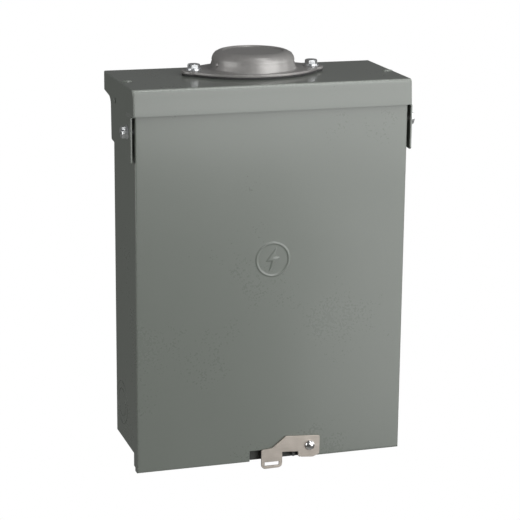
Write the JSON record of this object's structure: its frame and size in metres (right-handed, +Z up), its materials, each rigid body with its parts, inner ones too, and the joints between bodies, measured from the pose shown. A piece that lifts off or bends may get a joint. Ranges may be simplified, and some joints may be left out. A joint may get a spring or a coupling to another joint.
{
  "type": "outdoor residential load center",
  "caption": "Wall-mounted outdoor electrical load center: grey steel box with rain hood, lift-up front cover with padlock latch, hub closing cap and a plug-on breaker interior.",
  "frame": {"origin": "centre of the flat back face that lies on the wall", "axes": "+Z up, +Y into the wall (the front faces -Y), +X to the right seen from the front"},
  "size_m": [0.2392, 0.1001, 0.3339],
  "materials": {
    "grey_enamel": "baked grey enamel on steel sheet, semi-gloss",
    "inner_enamel": "baked grey enamel on steel sheet, semi-gloss",
    "cast_cap": "grey painted pressed steel, glossy",
    "gasket": "closed-cell rubber",
    "zinc_steel": "bright zinc plate",
    "stainless": "rolled stainless sheet, satin",
    "galvanised": "galvanised sheet",
    "tinned_aluminium": "tin-plated aluminium",
    "copper": "copper strip",
    "breaker_case": "moulded thermoset, fine texture",
    "breaker_handle": "moulded nylon",
    "moulded_support": "moulded thermoset"
  },
  "bodies": {
    "enclosure": {"bonding_strap": "galvanised", "breaker_1_case": "breaker_case", "breaker_2_case": "breaker_case", "breaker_3_case": "breaker_case", "breaker_4_case": "breaker_case", "breaker_5_case": "breaker_case", "breaker_6_case": "breaker_case", "breaker_handle_pins": "zinc_steel", "breaker_rail_left": "galvanised", "breaker_rail_right": "galvanised", "breaker_stab_jaws": "copper", "breaker_terminal_screws": "zinc_steel", "bus_support": "moulded_support", "cover_keeper": "galvanised", "cover_pivot_nuts": "zinc_steel", "cover_pivot_screws": "zinc_steel", "dead_front": "inner_enamel", "dead_front_bracket_left": "galvanised", "dead_front_bracket_right": "galvanised", "dead_front_screws": "zinc_steel", "enclosure_box": "grey_enamel", "ground_bar": "tinned_aluminium", "ground_bar_fixings": "zinc_steel", "ground_bar_screws": "zinc_steel", "hood_rivets": "grey_enamel", "hub_closing_cap": "cast_cap", "hub_gasket": "gasket", "hub_nuts": "zinc_steel", "hub_screws": "zinc_steel", "hub_washers": "zinc_steel", "interior_pan": "galvanised", "interior_pan_screws": "zinc_steel", "line_bus_a": "tinned_aluminium", "line_bus_b": "tinned_aluminium", "line_lug_a": "tinned_aluminium", "line_lug_b": "tinned_aluminium", "line_lug_screws": "zinc_steel", "neutral_bar": "tinned_aluminium", "neutral_bar_fixings": "zinc_steel", "neutral_bar_screws": "zinc_steel", "neutral_insulators": "moulded_support", "rain_hood": "grey_enamel"},
    "cover": {"front_cover": "grey_enamel", "latch_rivet": "stainless", "latch_washer": "zinc_steel"},
    "latch": {"latch_plate": "stainless"},
    "handle_double": {"breaker_1_handle": "breaker_handle", "breaker_3_handle": "breaker_handle", "handle_tie": "breaker_handle"},
    "handle_2": {"breaker_2_handle": "breaker_handle"},
    "handle_4": {"breaker_4_handle": "breaker_handle"},
    "handle_5": {"breaker_5_handle": "breaker_handle"},
    "handle_6": {"breaker_6_handle": "breaker_handle"}
  },
  "joints": [
    {"name": "cover_hinge", "type": "hinge", "parent": "enclosure", "child": "cover", "pos_m": [0, -0.085, 0.1206], "axis": [-1, 0, 0], "range_deg": [0, 98]},
    {"name": "latch_pivot", "type": "hinge", "parent": "cover", "child": "latch", "pos_m": [0.033, -0.09615, -0.144], "axis": [0, 1, 0], "range_deg": [0, 40]},
    {"name": "breaker_1_3_handle_throw", "type": "hinge", "parent": "enclosure", "child": "handle_double", "pos_m": [-0.039, -0.07, 0.0207], "axis": [0, 0, -1], "range_deg": [0, 44]},
    {"name": "breaker_2_handle_throw", "type": "hinge", "parent": "enclosure", "child": "handle_2", "pos_m": [0.039, -0.07, 0.0334], "axis": [0, 0, 1], "range_deg": [0, 44]},
    {"name": "breaker_4_handle_throw", "type": "hinge", "parent": "enclosure", "child": "handle_4", "pos_m": [0.039, -0.07, 0.008], "axis": [0, 0, 1], "range_deg": [0, 44]},
    {"name": "breaker_5_handle_throw", "type": "hinge", "parent": "enclosure", "child": "handle_5", "pos_m": [-0.039, -0.07, -0.0174], "axis": [0, 0, -1], "range_deg": [0, 44]},
    {"name": "breaker_6_handle_throw", "type": "hinge", "parent": "enclosure", "child": "handle_6", "pos_m": [0.039, -0.07, -0.0174], "axis": [0, 0, 1], "range_deg": [0, 44]}
  ]
}
